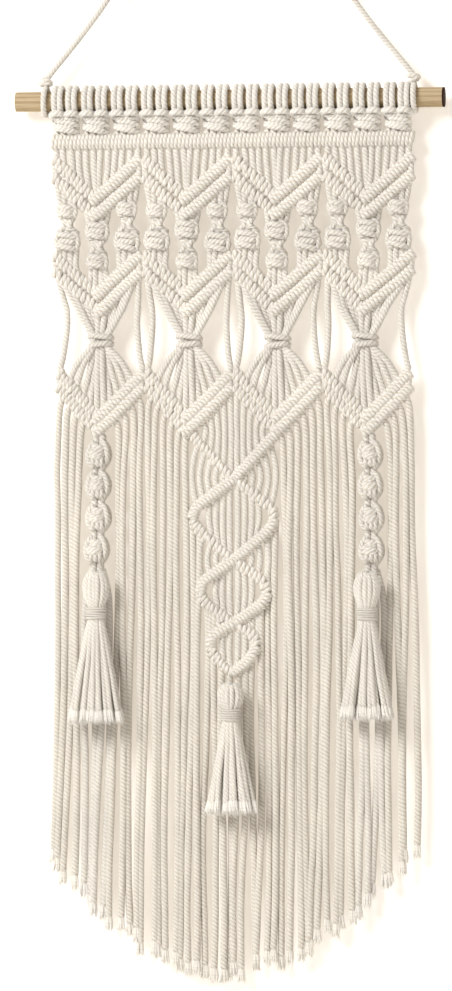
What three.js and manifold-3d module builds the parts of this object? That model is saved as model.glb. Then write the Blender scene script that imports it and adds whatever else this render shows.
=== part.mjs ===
// Knotted cotton wall hanging on a wooden dowel. Millimetres, +Z up, -Y faces the viewer, +Y is the wall.
// The origin is where the bend of the hanging cord bears on its hook.
import * as THREE from "three";
import { mergeVertices } from "three/addons/utils/BufferGeometryUtils.js";
import Module from "manifold-3d";

const wasm = await Module();
wasm.setup();

// Driving dimensions
const GAP = 0.3; // kept between touching pieces
const CORD_RADIUS = 2.5;
const HOOK_TO_DOWEL = 202.5;
const DOWEL_LENGTH = 350;
const DOWEL_RADIUS = 8;
const PANEL_WIDTH = 294;
const REPEATS = 4;
const LEGS = 48;
const LEG_PITCH = PANEL_WIDTH / LEGS;
const REPEAT_WIDTH = PANEL_WIDTH / REPEATS;
const PAIRS = 12;
const PAIR_PITCH = PANEL_WIDTH / PAIRS;
const HEM_DROP = 718; // lowest point of the fringe below the dowel axis
const HEM_RISE = 96; // how much shorter the fringe is at the panel's edges

// Levels below the dowel axis
const FIRST_KNOT = 20.4;
const FIRST_KNOT_HEIGHT = 10.6;
const BAR = { top: 26, bottom: 39.8, halfDepth: 5 };
const ROW_HALF_HEIGHT = 5.4;
const ROW_HALF_DEPTH = 4.8;
// Each zigzag is two stacked rows of hitches: the level of their peaks and of their lowest points
const ZIGZAGS = [
  { name: "chevron_1", upper: [45.9, 80], lower: [60.5, 93.4] },
  { name: "chevron_2", upper: [123.8, 157], lower: [136.8, 171] },
  { name: "chevron_3", upper: [219.6, 257], lower: [230.2, 267.5] },
];
const SENNIT_SPACING = 24.5;
const SIDE_SENNIT_KNOTS = [92, 112.5];
const CENTRE_SENNIT_KNOTS = [108, 128.5];
const CROSS_KNOT = 194.5;
const BOBBLE_KNOTS = [287, 312, 338, 364];
const BOBBLE_X = 1.5 * REPEAT_WIDTH;
// The centre braid: half width and level at each crossing and widest place
const BRAID = [
  [36.75, 267.5],
  [0, 306.5],
  [33, 338],
  [0, 371.5],
  [27, 398],
  [0, 422.6],
  [18, 441],
  [0, 463],
];
const BRAID_HALF_HEIGHT = 4.6;
const BRAID_HALF_DEPTH = 4.4;
const BRAID_TURN = 7.2; // height of the lump where two of its rows meet
// Tassels hang clear in front of the fringe
const TASSEL_Y = -15;
const TASSELS = [
  { name: "tassel_left", x: -BOBBLE_X, top: 379, neck: 414.5, hem: 504, halfWidth: 23 },
  { name: "tassel_center", x: 0, top: 469, neck: 496, hem: 577, halfWidth: 21 },
  { name: "tassel_right", x: BOBBLE_X, top: 379, neck: 414.5, hem: 500, halfWidth: 23 },
];
const TASSEL_SEGMENTS = 12;
const TASSEL_DEPTH_SHARE = 0.52; // a tassel lies flat against the fringe
const TASSEL_NECK_RADIUS = 6.2;
const WRAP_RADIUS = 8.2;
const WRAP_HEIGHT = 9.4;
const LOOP_X = 150.6;
const LOOP_RADIUS = DOWEL_RADIUS + 0.6 + CORD_RADIUS;

// Solids

const at = (drop) => -HOOK_TO_DOWEL - drop;

function solid(geometry) {
  const bare = geometry.clone();
  bare.deleteAttribute("normal");
  bare.deleteAttribute("uv");
  const merged = mergeVertices(bare, 1e-4);
  const vertProperties = new Float32Array(merged.attributes.position.array);
  const closed = (triVerts) =>
    new wasm.Manifold(new wasm.Mesh({ numProp: 3, vertProperties, triVerts }));
  const faces = new Uint32Array(merged.index.array);
  const made = closed(faces);
  return made.volume() > 0 ? made : closed(faces.reverse());
}

const join = (solids) => solids.reduce((whole, piece) => whole.add(piece));

// The largest body of a solid, without the slivers that a cut may leave beside it
function largest(whole) {
  return whole.decompose().sort((a, b) => b.volume() - a.volume())[0];
}

function box(low, high) {
  const size = high.map((v, i) => v - low[i]);
  const geometry = new THREE.BoxGeometry(...size);
  geometry.translate(...low.map((v, i) => v + size[i] / 2));
  return solid(geometry);
}

// A regular section with a corner on +X
function section(sides, halfWidth, halfDepth) {
  const shape = new THREE.Shape();
  for (let i = 0; i < sides; i++) {
    const angle = (2 * Math.PI * i) / sides;
    const corner = [halfWidth * Math.cos(angle), halfDepth * Math.sin(angle)];
    if (i) shape.lineTo(...corner);
    else shape.moveTo(...corner);
  }
  return shape;
}

// A straight bar with an oval section between two points of the XZ plane
function bar(from, to, halfHeight, halfDepth, y = 0, sides = 6) {
  const along = new THREE.Vector2(to[0] - from[0], to[1] - from[1]);
  const geometry = new THREE.ExtrudeGeometry(section(sides, halfHeight, halfDepth), {
    depth: along.length(),
    bevelEnabled: false,
  });
  geometry.rotateY(Math.atan2(along.x, along.y));
  geometry.translate(from[0], y, from[1]);
  return solid(geometry);
}

const leg = (x, high, low, radius = 2.4) => bar([x, high], [x, low], radius, radius, 0, 4);

// A round cord along a smooth route
function cordAlong(points, radius, sides, steps) {
  const path = new THREE.CatmullRomCurve3(points.map((p) => new THREE.Vector3(...p)));
  const round = section(sides, radius, radius);
  return solid(new THREE.ExtrudeGeometry(round, { extrudePath: path, steps }));
}

// A body turned about the vertical through (x, y), its profile given as [radius, level] from the top down
function turned(profile, x, y, segments, depthShare = 1) {
  const points = profile.map(([r, drop]) => new THREE.Vector2(r, at(drop)));
  const geometry = new THREE.LatheGeometry(points, segments);
  geometry.rotateX(Math.PI / 2);
  geometry.scale(1, depthShare, 1);
  geometry.translate(x, y, 0);
  return solid(geometry);
}

// A ring about the dowel's axis, its profile given as [radius, x]
function ringOnDowel(profile, segments) {
  const points = profile.map(([r, x]) => new THREE.Vector2(r, x));
  const geometry = new THREE.LatheGeometry([...points, points[0]], segments);
  geometry.rotateZ(-Math.PI / 2);
  geometry.translate(0, 0, at(0));
  return solid(geometry);
}

// A square knot: a cushion of wraps across its cords
function squareKnot(x, drop, halfWidth, height, halfDepth = 4.6) {
  return bar([x - halfWidth, at(drop)], [x + halfWidth, at(drop)], height / 2, halfDepth, 0, 8);
}

// Hanger

function hangingCord() {
  const foot = at(0) + LOOP_RADIUS + CORD_RADIUS + GAP;
  const bend = 14;
  const slope = (foot - CORD_RADIUS) / (LOOP_X - bend);
  const right = [
    [LOOP_X, foot],
    [LOOP_X - 1.4, foot + 5],
    [LOOP_X - 36, foot - 34 * slope],
    [LOOP_X - 70, foot - 68 * slope],
    [LOOP_X - 104, foot - 102 * slope],
    [bend + 6, -16],
    [bend / 2, -1],
  ].map(([x, z]) => [x, 0, z]);
  const left = right.map(([x, y, z]) => [-x, y, z]).reverse();
  return cordAlong([...right, [0, 0, CORD_RADIUS], ...left], CORD_RADIUS, 8, 40);
}

function hangerLoop(x) {
  const profile = [];
  for (let i = 0; i < 8; i++) {
    const angle = (2 * Math.PI * i) / 8;
    profile.push([LOOP_RADIUS + CORD_RADIUS * Math.cos(angle), x + CORD_RADIUS * Math.sin(angle)]);
  }
  return ringOnDowel(profile, 16);
}

// Panel

function dowel() {
  const half = DOWEL_LENGTH / 2;
  const geometry = new THREE.CylinderGeometry(DOWEL_RADIUS, DOWEL_RADIUS, 2 * half, 32);
  geometry.rotateZ(Math.PI / 2);
  geometry.translate(0, 0, at(0));
  return solid(geometry);
}

// Two lark's heads round the dowel with the square knot that their four legs make
function cordPair(x) {
  const segments = 10;
  const inner = (DOWEL_RADIUS + GAP) / Math.cos(Math.PI / segments);
  const outer = inner + 2 * CORD_RADIUS;
  const half = PAIR_PITCH / 2 - GAP / 2;
  const groove = 1.2;
  const wraps = ringOnDowel(
    [
      [inner, x - half],
      [outer, x - half],
      [outer, x - groove],
      [outer - 2, x],
      [outer, x + groove],
      [outer, x + half],
      [inner, x + half],
    ],
    segments,
  );
  const bights = [-1, 1].map((side) => {
    const middle = x + (side * PAIR_PITCH) / 4;
    return bar([middle - 4.6, at(12)], [middle + 4.6, at(12)], 2.6, 2.6, -8);
  });
  const legs = bar([x, at(11)], [x, at(17)], 10, 2.4, 0, 4);
  const knot = squareKnot(x, FIRST_KNOT, 10, FIRST_KNOT_HEIGHT);
  return join([wraps, ...bights, legs, knot]);
}

// The straight row of double half hitches, one rib to each leg
function hitchBar() {
  const outline = new THREE.Shape();
  outline.moveTo(-PANEL_WIDTH / 2, BAR.halfDepth - 1.5);
  for (let i = 0; i < LEGS; i++) {
    const left = -PANEL_WIDTH / 2 + i * LEG_PITCH;
    outline.lineTo(left + 0.1, -BAR.halfDepth + 1.4);
    outline.lineTo(left + LEG_PITCH / 2, -BAR.halfDepth);
  }
  outline.lineTo(PANEL_WIDTH / 2, -BAR.halfDepth + 1.4);
  outline.lineTo(PANEL_WIDTH / 2, BAR.halfDepth - 1.5);
  const geometry = new THREE.ExtrudeGeometry(outline, {
    depth: BAR.bottom - BAR.top,
    bevelEnabled: false,
  });
  geometry.translate(0, 0, at(BAR.bottom));
  return solid(geometry);
}

const repeatMiddle = (repeat) => (repeat - (REPEATS - 1) / 2) * REPEAT_WIDTH;

// How far below the dowel axis a row's middle lies at x
function rowLevel([peak, bottom], x) {
  const fromMiddle = Math.abs(((x + 2.5 * REPEAT_WIDTH) % REPEAT_WIDTH) - REPEAT_WIDTH / 2);
  return bottom - ((bottom - peak) * fromMiddle) / (REPEAT_WIDTH / 2);
}

// One row of one repeat: two arms that fall to the middle
function rowArms(middle, [peak, bottom], grow) {
  const half = REPEAT_WIDTH / 2 + 4;
  const top = peak - ((bottom - peak) * 4) / (REPEAT_WIDTH / 2);
  return [-1, 1].map((side) =>
    bar(
      [middle + side * half, at(top)],
      [middle - side * 1.5, at(bottom + 1.5)],
      ROW_HALF_HEIGHT + grow,
      ROW_HALF_DEPTH + grow,
    ),
  );
}

function chevron(zigzag, middle, grow = 0) {
  const rows = [...rowArms(middle, zigzag.upper, grow), ...rowArms(middle, zigzag.lower, grow)];
  return join(rows);
}

function trimToRepeat(whole, middle) {
  const half = REPEAT_WIDTH / 2 - GAP / 2;
  return whole.intersect(
    box([middle - half, -30, at(300)], [middle + half, 30, at(BAR.bottom + GAP)]),
  );
}

const offsetsInRepeat = Array.from({ length: 12 }, (_, i) => (i - 5.5) * LEG_PITCH);

// The first zigzag with the twelve legs that fall to it from the bar
function firstChevron(middle) {
  const legs = offsetsInRepeat
    .filter((offset) => Math.abs(offset) < 5 * LEG_PITCH)
    .map((offset) => leg(middle + offset, at(BAR.bottom), at(rowLevel(ZIGZAGS[0].upper, offset))));
  return trimToRepeat(join([chevron(ZIGZAGS[0], middle), ...legs]), middle);
}

// The second zigzag with the slack leg that hangs from each end of its lower row
function secondChevron(middle) {
  const offset = 5.5 * LEG_PITCH;
  const slack = [-1, 1].map((side) =>
    leg(middle + side * offset, at(ZIGZAGS[1].lower[0]), at(ZIGZAGS[2].upper[0] + 8), 2.2),
  );
  const rows = join([chevron(ZIGZAGS[1], middle), ...slack]);
  return largest(trimToRepeat(rows.subtract(chevron(ZIGZAGS[2], middle, GAP)), middle));
}

const thirdChevron = (middle) => trimToRepeat(chevron(ZIGZAGS[2], middle), middle);

// Four legs tied with two square knots between the first and the second zigzag
function sennit(middle, offset) {
  const x = middle + offset;
  const knots = offset ? SIDE_SENNIT_KNOTS : CENTRE_SENNIT_KNOTS;
  const high = rowLevel(ZIGZAGS[0].lower, offset);
  const low = rowLevel(ZIGZAGS[1].upper, offset);
  const core = bar([x, at(high)], [x, at(low)], 5, 2.4);
  const bodies = [core, squareKnot(x, knots[0], 9, 14), squareKnot(x, knots[1], 9.4, 12)];
  for (const side of [-1, 1]) {
    const outside = x + side * 8;
    bodies.push(bar([outside, at(high)], [x + side * 5, at(knots[0])], 2.2, 2.2, 0, 4));
    bodies.push(bar([x + side * 5, at(knots[1])], [outside, at(low)], 2.2, 2.2, 0, 4));
  }
  const rows = join([chevron(ZIGZAGS[0], middle, GAP), chevron(ZIGZAGS[1], middle, GAP)]);
  return largest(join(bodies).subtract(rows));
}

// The legs that gather from the second zigzag in a small knot and fan out to the third
function crossKnot(middle) {
  const bodies = [squareKnot(middle, CROSS_KNOT, 9, 10, 5.4)];
  for (const side of [-1, 1]) {
    for (const reach of [28, 21, 5]) {
      const x = middle + side * reach;
      const gathered = middle + side * Math.min(reach, 4);
      const high = rowLevel(ZIGZAGS[1].lower, side * reach);
      const low = rowLevel(ZIGZAGS[2].upper, side * reach);
      bodies.push(bar([x, at(high)], [gathered, at(CROSS_KNOT)], 2.4, 2.4, 0, 4));
      bodies.push(bar([gathered, at(CROSS_KNOT)], [x, at(low)], 2.4, 2.4, 0, 4));
    }
  }
  const rows = join([chevron(ZIGZAGS[1], middle, GAP), chevron(ZIGZAGS[2], middle, GAP)]);
  return largest(join(bodies).subtract(rows));
}

// Fringe

const legX = (index) => (index + 0.5) * LEG_PITCH - PANEL_WIDTH / 2;
const hemDrop = (x) => HEM_DROP - HEM_RISE * (x / (PANEL_WIDTH / 2)) ** 2;

// Neighbouring legs lie against each other, so that a group of them is one body
function fringeLegs(first, last, topOf) {
  const legs = [];
  for (let i = first; i <= last; i++) {
    const x = legX(i);
    legs.push(bar([x, at(topOf(x))], [x, at(hemDrop(x))], 3.2, 2.6));
  }
  const half = LEG_PITCH / 2 - GAP / 2;
  const between = box([legX(first) - half, -30, at(800)], [legX(last) + half, 30, at(200)]);
  return join(legs).intersect(between);
}

const thirdRows = (grow) =>
  join([0, 1, 2, 3].map((repeat) => chevron(ZIGZAGS[2], repeatMiddle(repeat), grow)));

const underThirdZigzag = (x) => rowLevel(ZIGZAGS[2].lower, x);

function fringe(first, last) {
  const rows = thirdRows(GAP).add(braidArms(GAP));
  return largest(fringeLegs(first, last, underThirdZigzag).subtract(rows));
}

function braidArms(grow) {
  const arms = [];
  BRAID.slice(1).forEach(([reach, drop], i) => {
    const [before, above] = BRAID[i];
    for (const side of [-1, 1]) {
      arms.push(
        bar(
          [side * before, at(above)],
          [side * reach, at(drop)],
          BRAID_HALF_HEIGHT + grow,
          BRAID_HALF_DEPTH + grow,
        ),
      );
    }
  });
  BRAID.slice(1).forEach(([reach, drop]) => {
    for (const side of reach ? [-1, 1] : [1]) {
      const half = BRAID_TURN / 2 + grow;
      arms.push(bar([side * reach, at(drop - half)], [side * reach, at(drop + half)], 4 + grow, 4 + grow));
    }
  });
  return join(arms);
}

// The braid of linked diamonds under the middle peak, with the legs that run down inside it
function centreBraid() {
  const inside = [
    { legs: 10, from: ZIGZAGS[2].lower[0], to: 306.5, spread: 1 },
    { legs: 6, from: 312, to: 366, spread: 0.8 },
    { legs: 4, from: 377, to: 418, spread: 0.8 },
    { legs: 3, from: 428, to: 459, spread: 0.9 },
  ].flatMap(({ legs, from, to, spread }) =>
    Array.from({ length: legs }, (_, i) => {
      const x = (i - (legs - 1) / 2) * LEG_PITCH * spread;
      const share = 1 - Math.abs(x) / 36;
      const middle = (from + to) / 2;
      const half = ((to - from) / 2) * share;
      return leg(x, at(from === ZIGZAGS[2].lower[0] ? from : middle - half), at(middle + half), 2.2);
    }),
  );
  return largest(join([braidArms(0), ...inside]).subtract(thirdRows(GAP)));
}

function centreFringe() {
  const first = 18;
  const last = 29;
  const topOf = (x) => {
    if (Math.abs(x) > 26) return 338;
    return Math.abs(x) > 14 ? 398 : 441;
  };
  const whole = fringeLegs(first, last, topOf).subtract(braidArms(GAP));
  const inside = box([-40, -30, at(800)], [40, 30, at(338)]);
  return largest(whole.intersect(inside));
}

// Four ball-shaped knots on four legs, which run on behind the tassel to the hem
function bobbleSennit(side) {
  const x = side * BOBBLE_X;
  const first = side < 0 ? 4 : 40;
  const balls = BOBBLE_KNOTS.map((drop) =>
    turned([[0, drop - 11.5], [6, drop - 10], [9.7, drop - 3], [9.7, drop + 3], [6, drop + 10], [0, drop + 11.5]], x, 0, 8),
  );
  const core = bar([x, at(BOBBLE_KNOTS[0] - 18)], [x, at(BOBBLE_KNOTS[3] + 24)], 5, 3);
  const legs = fringeLegs(first, first + 3, () => BOBBLE_KNOTS[3] + 22);
  return largest(join([...balls, core, legs]).subtract(thirdRows(GAP)));
}

// Tassels

function tassel({ x, top, neck, hem, halfWidth }) {
  const head = (top + neck - WRAP_HEIGHT / 2) / 2;
  const above = neck - WRAP_HEIGHT / 2 - GAP;
  const below = neck + WRAP_HEIGHT / 2 + GAP;
  const profile = [
    [0, top],
    [3.2, top + 0.8],
    [9, head - 3],
    [10, head + 3],
    [7.6, above],
    [TASSEL_NECK_RADIUS, above + 0.1],
    [TASSEL_NECK_RADIUS, below - 0.1],
    [8.4, below],
    [halfWidth * 0.72, (below + hem) / 2],
    [halfWidth, hem - 4],
    [halfWidth - 4, hem],
    [0, hem],
  ];
  return turned(profile, x, TASSEL_Y, TASSEL_SEGMENTS, TASSEL_DEPTH_SHARE);
}

function tasselWrap({ x, neck }) {
  const inner = TASSEL_NECK_RADIUS + GAP / TASSEL_DEPTH_SHARE;
  const half = WRAP_HEIGHT / 2;
  const edge = 0.8;
  const profile = [
    [inner, neck - half],
    [WRAP_RADIUS - edge, neck - half],
    [WRAP_RADIUS, neck - half + edge],
    [WRAP_RADIUS, neck + half - edge],
    [WRAP_RADIUS - edge, neck + half],
    [inner, neck + half],
    [inner, neck - half],
  ];
  return turned(profile, x, TASSEL_Y, TASSEL_SEGMENTS, TASSEL_DEPTH_SHARE);
}

// Assembly

const cotton = (colour) => ({ color: colour, roughness: 0.95, metalness: 0 });
const LOOKS = {
  cord: cotton(0xf3ece0),
  hitch: cotton(0xf1e9dc),
  fringe: cotton(0xeee5d6),
  tassel: cotton(0xf5efe5),
  wood: { color: 0xdebe8c, roughness: 0.6, metalness: 0 },
};

const group = new THREE.Group();
group.name = "macrame_wall_hanging";

function place(name, whole, look) {
  const { vertProperties, triVerts, numProp, numVert } = whole.getMesh();
  const positions = new Float32Array(numVert * 3);
  for (let i = 0; i < numVert; i++) {
    positions.set(vertProperties.subarray(i * numProp, i * numProp + 3), i * 3);
  }
  const geometry = new THREE.BufferGeometry();
  geometry.setAttribute("position", new THREE.BufferAttribute(positions, 3));
  geometry.setIndex(new THREE.BufferAttribute(triVerts, 1));
  geometry.computeVertexNormals();
  const mesh = new THREE.Mesh(geometry, new THREE.MeshStandardMaterial(LOOKS[look]));
  mesh.name = name;
  group.add(mesh);
}

const two = (number) => String(number).padStart(2, "0");

place("hanging_cord", hangingCord(), "cord");
place("hanger_loop_left", hangerLoop(-LOOP_X), "cord");
place("hanger_loop_right", hangerLoop(LOOP_X), "cord");
place("dowel", dowel(), "wood");
for (let pair = 0; pair < PAIRS; pair++) {
  const x = (pair - (PAIRS - 1) / 2) * PAIR_PITCH;
  place("cord_pair_" + two(pair + 1), cordPair(x), "cord");
}
place("hitch_bar", hitchBar(), "hitch");
for (let repeat = 0; repeat < REPEATS; repeat++) {
  const middle = repeatMiddle(repeat);
  place("chevron_1_" + (repeat + 1), firstChevron(middle), "hitch");
  place("chevron_2_" + (repeat + 1), secondChevron(middle), "hitch");
  place("chevron_3_" + (repeat + 1), thirdChevron(middle), "hitch");
  place("cross_knot_" + (repeat + 1), crossKnot(middle), "cord");
  [-SENNIT_SPACING, 0, SENNIT_SPACING].forEach((offset, i) => {
    place("sennit_" + two(3 * repeat + i + 1), sennit(middle, offset), "cord");
  });
}
place("bobble_sennit_left", bobbleSennit(-1), "cord");
place("bobble_sennit_right", bobbleSennit(1), "cord");
place("center_braid", centreBraid(), "hitch");
place("fringe_left_edge", fringe(0, 3), "fringe");
place("fringe_left", fringe(8, 17), "fringe");
place("fringe_center", centreFringe(), "fringe");
place("fringe_right", fringe(30, 39), "fringe");
place("fringe_right_edge", fringe(44, 47), "fringe");
for (const one of TASSELS) {
  place(one.name, tassel(one), "tassel");
  place(one.name + "_wrap", tasselWrap(one), "cord");
}

export default group;
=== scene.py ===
"""Looks of the knotted cotton wall hanging: twisted rope, with each knot tied along its real route."""

import math

import bpy
import numpy as np
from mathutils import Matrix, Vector


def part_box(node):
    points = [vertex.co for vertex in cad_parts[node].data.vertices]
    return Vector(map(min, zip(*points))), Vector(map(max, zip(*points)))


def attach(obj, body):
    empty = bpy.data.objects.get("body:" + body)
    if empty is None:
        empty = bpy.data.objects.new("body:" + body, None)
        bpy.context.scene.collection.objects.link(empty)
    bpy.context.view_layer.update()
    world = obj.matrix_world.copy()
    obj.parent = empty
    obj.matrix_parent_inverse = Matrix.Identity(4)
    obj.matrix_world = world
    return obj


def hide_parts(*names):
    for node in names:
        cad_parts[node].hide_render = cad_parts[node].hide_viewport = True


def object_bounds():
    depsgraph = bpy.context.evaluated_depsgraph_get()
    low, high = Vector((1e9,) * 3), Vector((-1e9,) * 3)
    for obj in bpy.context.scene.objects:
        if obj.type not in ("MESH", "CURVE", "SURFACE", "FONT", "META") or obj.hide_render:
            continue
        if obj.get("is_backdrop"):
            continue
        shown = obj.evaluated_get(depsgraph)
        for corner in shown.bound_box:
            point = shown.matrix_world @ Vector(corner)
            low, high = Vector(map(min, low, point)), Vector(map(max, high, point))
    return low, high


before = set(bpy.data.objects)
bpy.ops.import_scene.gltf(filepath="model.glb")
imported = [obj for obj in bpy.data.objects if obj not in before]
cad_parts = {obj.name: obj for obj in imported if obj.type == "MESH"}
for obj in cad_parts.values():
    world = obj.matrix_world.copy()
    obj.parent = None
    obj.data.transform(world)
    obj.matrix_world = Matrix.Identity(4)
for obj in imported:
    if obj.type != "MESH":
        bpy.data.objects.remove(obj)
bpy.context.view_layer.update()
rng = np.random.default_rng(11)

# Measures in millimetres. The places that the CAD settles come from the frame

MM = 1000.0


def box_mm(node):
    low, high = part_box(node)
    return np.array(low) * MM, np.array(high) * MM


DOWEL_LOW, DOWEL_HIGH = box_mm("dowel")
AXIS_Z = (DOWEL_LOW[2] + DOWEL_HIGH[2]) / 2
DOWEL_RADIUS = (DOWEL_HIGH[2] - DOWEL_LOW[2]) / 2
BAR_LOW, BAR_HIGH = box_mm("hitch_bar")
PANEL_WIDTH = BAR_HIGH[0] - BAR_LOW[0]
LEGS = 48
REPEATS = 4
PAIRS = 12
SENNITS = 3  # in each repeat
LEG_PITCH = PANEL_WIDTH / LEGS
PAIR_PITCH = PANEL_WIDTH / PAIRS
REPEAT_WIDTH = PANEL_WIDTH / REPEATS
CORD = 2.5  # the hanging cord's radius
ROPE = 2.8  # radius of the softer panel cords, at the middle of a strand
ROPE_SPACING = 1.7  # length of one step along a cord
TWIST = 9.6  # length of one full turn of a cord's three strands
THIN_TWIST = 4.6  # the same, in the thin cord round a tassel's neck
LOOSE = -2.0  # the cord map's second value where fibres are loose

# Levels below the dowel's axis
FIRST_KNOT = 20.2
BAR_LEVEL = AXIS_Z - (BAR_LOW[2] + BAR_HIGH[2]) / 2
ZIGZAGS = [
    {"upper": (45.9, 80.0), "lower": (60.5, 93.4)},
    {"upper": (123.8, 157.0), "lower": (136.8, 171.0)},
    {"upper": (219.6, 257.0), "lower": (230.2, 267.5)},
]
SIDE_KNOTS = (88.2, 114.2)
CENTRE_KNOTS = (104.8, 130.5)
CROSS_KNOT = 194.5
BOBBLES = (287.0, 312.0, 338.0, 364.0)
HEM_DROP = AXIS_Z - box_mm("fringe_center")[0][2]
HEM_GAP = 3.0  # room for the loose fibres above the CAD hem
HEM_RISE = 94.0  # how much higher the hem is at the panel's sides
HEM_TRIM = 13.0  # and how much more than that on the right
FRAY = 13.0  # length of the untwisted ends
PAINTED_SHADE_RIM = 1.6  # width of the painted shade rim at the dowel's right end

# By level, the panel's width as a share of its straight row's, and how far it hangs to the right
WAIST_LEVELS = (130, 150, 168, 230, 300, 400, 623)
WAIST_WIDTHS = (1.005, 0.997, 0.975, 0.985, 1.008, 1.018, 1.026)
DRIFT_LEVELS = (0, 40, 200, 270, 420, 640)
DRIFTS = (1.6, 2.4, 3.2, 4.0, 3.8, 2.2)


def at(drop):
    """The height of a level below the dowel's axis."""
    return AXIS_Z - drop


def repeat_middle(repeat):
    return (repeat - (REPEATS - 1) / 2) * REPEAT_WIDTH


def leg_x(index):
    return (index + 0.5) * LEG_PITCH - PANEL_WIDTH / 2


def row_level(levels, offset):
    """How far below the dowel's axis a zigzag row lies, at an offset from the middle of its repeat."""
    peak, bottom = levels
    return bottom - (bottom - peak) * abs(offset) / (REPEAT_WIDTH / 2)


def repeat_offset(x):
    """How far x lies from the middle of its repeat."""
    return x % REPEAT_WIDTH - REPEAT_WIDTH / 2


def hem_drop(x):
    """How far down a leg ends: on a curve that is lowest near the middle and highest on the right."""
    share = x / (PANEL_WIDTH / 2)
    return HEM_DROP - HEM_GAP - HEM_RISE * share**2 - HEM_TRIM * max(0.0, share) ** 0.7


def waist(drop):
    """The panel's width at this level, as a share of its straight row's."""
    return np.interp(drop, WAIST_LEVELS, WAIST_WIDTHS)


def drift(drop):
    """How far the panel hangs to the right of the dowel's middle at this level."""
    return np.interp(drop, DRIFT_LEVELS, DRIFTS)


def drawn_in(points):
    """Points of the flat panel moved to where its waist and its drift to one side put them."""
    moved = points.copy()
    drop = AXIS_Z - points[:, 2]
    moved[:, 0] = moved[:, 0] * waist(drop) + drift(drop)
    return moved


# Mesh making


def smooth_path(points, spacing):
    """A smooth curve through the points, sampled at even steps."""
    p = np.asarray(points, float)
    padded = np.vstack([2 * p[0] - p[1], p, 2 * p[-1] - p[-2]])
    t = np.linspace(0, 1, 9)[:-1, None]
    parts = []
    for i in range(len(p) - 1):
        a, b, c, d = padded[i : i + 4]
        parts.append(
            0.5 * (2 * b + (c - a) * t + (2 * a - 5 * b + 4 * c - d) * t**2 + (3 * b - a - 3 * c + d) * t**3)
        )
    dense = np.vstack([*parts, p[-1:]])
    run = np.concatenate([[0], np.cumsum(np.linalg.norm(np.diff(dense, axis=0), axis=1))])
    count = max(3, round(run[-1] / spacing) + 1)
    even = np.linspace(0, run[-1], count)
    return np.column_stack([np.interp(even, run, dense[:, i]) for i in range(3)]), even


def unit(vectors):
    return vectors / np.maximum(np.linalg.norm(vectors, axis=-1, keepdims=True), 1e-9)


def quads_between(ring, after, corner, beside, corners):
    """Faces between each ring and the one after it, in the order of their corners."""
    low, high = ring * corners, after * corners
    return np.stack([low + corner, low + beside, high + beside, high + corner], axis=-1).reshape(-1, 4)


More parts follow.
